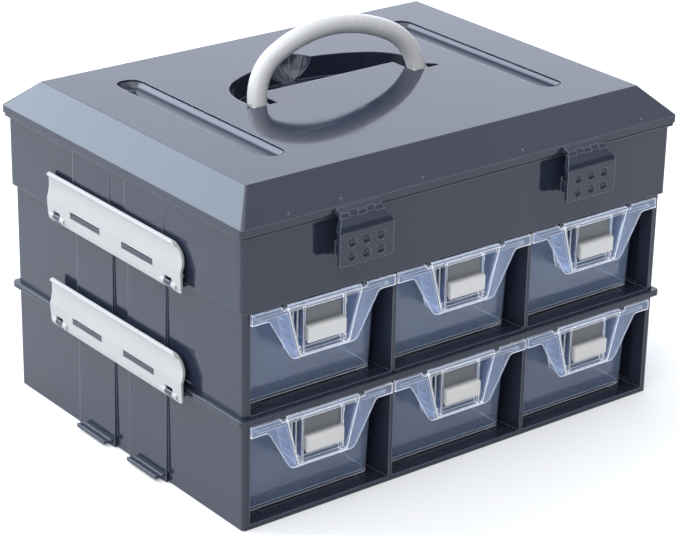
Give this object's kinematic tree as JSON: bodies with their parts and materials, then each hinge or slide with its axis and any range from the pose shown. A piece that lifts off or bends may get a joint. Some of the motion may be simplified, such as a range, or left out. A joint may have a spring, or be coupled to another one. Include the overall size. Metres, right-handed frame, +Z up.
{
  "type": "stackable drawer parts organizer",
  "caption": "Dark carry-case organizer: stacked frames of clear sliding drawers, side clips, and a deep top bin under a hinged, latched lid with a folding handle.",
  "frame": {"origin": "middle of the drawer frame's footprint, on the plane the case stands on", "axes": "+Z up, drawers and latches face -Y, width along X"},
  "size_m": [0.3868, 0.3098, 0.2832],
  "materials": {
    "lower_frame": "glossy dark slate",
    "upper_frame": "glossy dark slate",
    "top_bin": "glossy dark slate",
    "lid": "glossy dark slate",
    "latches": "glossy dark slate",
    "handle": "smooth off-white",
    "clips": "smooth off-white",
    "drawer_catches": "warm white satin",
    "drawers": "clear moulded plastic",
    "pins": "plain steel"
  },
  "bodies": {
    "case": {"lower_frame": "lower_frame", "upper_frame": "upper_frame", "top_bin": "top_bin", "lid_hinge_pin_left": "pins", "lid_hinge_pin_right": "pins"},
    "lid": {"lid": "lid", "handle_pins": "pins", "latch_pin_left": "pins", "latch_pin_right": "pins"},
    "handle": {"handle": "handle"},
    "latch_left": {"latch_left": "latches"},
    "latch_right": {"latch_right": "latches"},
    "clip_left_lower": {"clip_left_lower": "clips"},
    "clip_right_lower": {"clip_right_lower": "clips"},
    "clip_left_upper": {"clip_left_upper": "clips"},
    "clip_right_upper": {"clip_right_upper": "clips"},
    "drawer_lower_left": {"drawer_lower_left": "drawers"},
    "drawer_catch_lower_left": {"drawer_catch_lower_left": "drawer_catches"},
    "drawer_lower_middle": {"drawer_lower_middle": "drawers"},
    "drawer_catch_lower_middle": {"drawer_catch_lower_middle": "drawer_catches"},
    "drawer_lower_right": {"drawer_lower_right": "drawers"},
    "drawer_catch_lower_right": {"drawer_catch_lower_right": "drawer_catches"},
    "drawer_upper_left": {"drawer_upper_left": "drawers"},
    "drawer_catch_upper_left": {"drawer_catch_upper_left": "drawer_catches"},
    "drawer_upper_middle": {"drawer_upper_middle": "drawers"},
    "drawer_catch_upper_middle": {"drawer_catch_upper_middle": "drawer_catches"},
    "drawer_upper_right": {"drawer_upper_right": "drawers"},
    "drawer_catch_upper_right": {"drawer_catch_upper_right": "drawer_catches"}
  },
  "joints": [
    {"name": "lid_hinge", "type": "hinge", "parent": "case", "child": "lid", "pos_m": [0, 0.1496, 0.211], "axis": [-1, 0, 0], "range_deg": [0, 100]},
    {"name": "handle_fold", "type": "hinge", "parent": "lid", "child": "handle", "pos_m": [0, 0, 0.229], "axis": [-1, 0, 0], "range_deg": [-15.7, 74.3]},
    {"name": "latch_left_hinge", "type": "hinge", "parent": "lid", "child": "latch_left", "pos_m": [-0.0985, -0.1496, 0.2116], "axis": [-1, 0, 0], "range_deg": [0, 75]},
    {"name": "latch_right_hinge", "type": "hinge", "parent": "lid", "child": "latch_right", "pos_m": [0.0985, -0.1496, 0.2116], "axis": [-1, 0, 0], "range_deg": [0, 75]},
    {"name": "clip_left_lower_hinge", "type": "hinge", "parent": "case", "child": "clip_left_lower", "pos_m": [-0.1908, 0.002, 0.0755], "axis": [0, -1, 0], "range_deg": [0, 80]},
    {"name": "clip_right_lower_hinge", "type": "hinge", "parent": "case", "child": "clip_right_lower", "pos_m": [0.1908, 0.002, 0.0755], "axis": [0, 1, 0], "range_deg": [0, 80]},
    {"name": "clip_left_upper_hinge", "type": "hinge", "parent": "case", "child": "clip_left_upper", "pos_m": [-0.1908, 0.002, 0.1555], "axis": [0, -1, 0], "range_deg": [0, 80]},
    {"name": "clip_right_upper_hinge", "type": "hinge", "parent": "case", "child": "clip_right_upper", "pos_m": [0.1908, 0.002, 0.1555], "axis": [0, 1, 0], "range_deg": [0, 80]},
    {"name": "drawer_lower_left_slide", "type": "slide", "parent": "case", "child": "drawer_lower_left", "axis": [0, -1, 0], "range_m": [0, 0.2]},
    {"name": "drawer_catch_lower_left_slide", "type": "slide", "parent": "drawer_lower_left", "child": "drawer_catch_lower_left", "axis": [0, 0, -1], "range_m": [0, 0.003], "stiffness_N_per_m": 60, "springref_m": -0.001},
    {"name": "drawer_lower_middle_slide", "type": "slide", "parent": "case", "child": "drawer_lower_middle", "axis": [0, -1, 0], "range_m": [0, 0.2]},
    {"name": "drawer_catch_lower_middle_slide", "type": "slide", "parent": "drawer_lower_middle", "child": "drawer_catch_lower_middle", "axis": [0, 0, -1], "range_m": [0, 0.003], "stiffness_N_per_m": 60, "springref_m": -0.001},
    {"name": "drawer_lower_right_slide", "type": "slide", "parent": "case", "child": "drawer_lower_right", "axis": [0, -1, 0], "range_m": [0, 0.2]},
    {"name": "drawer_catch_lower_right_slide", "type": "slide", "parent": "drawer_lower_right", "child": "drawer_catch_lower_right", "axis": [0, 0, -1], "range_m": [0, 0.003], "stiffness_N_per_m": 60, "springref_m": -0.001},
    {"name": "drawer_upper_left_slide", "type": "slide", "parent": "case", "child": "drawer_upper_left", "axis": [0, -1, 0], "range_m": [0, 0.2]},
    {"name": "drawer_catch_upper_left_slide", "type": "slide", "parent": "drawer_upper_left", "child": "drawer_catch_upper_left", "axis": [0, 0, -1], "range_m": [0, 0.003], "stiffness_N_per_m": 60, "springref_m": -0.001},
    {"name": "drawer_upper_middle_slide", "type": "slide", "parent": "case", "child": "drawer_upper_middle", "axis": [0, -1, 0], "range_m": [0, 0.2]},
    {"name": "drawer_catch_upper_middle_slide", "type": "slide", "parent": "drawer_upper_middle", "child": "drawer_catch_upper_middle", "axis": [0, 0, -1], "range_m": [0, 0.003], "stiffness_N_per_m": 60, "springref_m": -0.001},
    {"name": "drawer_upper_right_slide", "type": "slide", "parent": "case", "child": "drawer_upper_right", "axis": [0, -1, 0], "range_m": [0, 0.2]},
    {"name": "drawer_catch_upper_right_slide", "type": "slide", "parent": "drawer_upper_right", "child": "drawer_catch_upper_right", "axis": [0, 0, -1], "range_m": [0, 0.003], "stiffness_N_per_m": 60, "springref_m": -0.001}
  ]
}
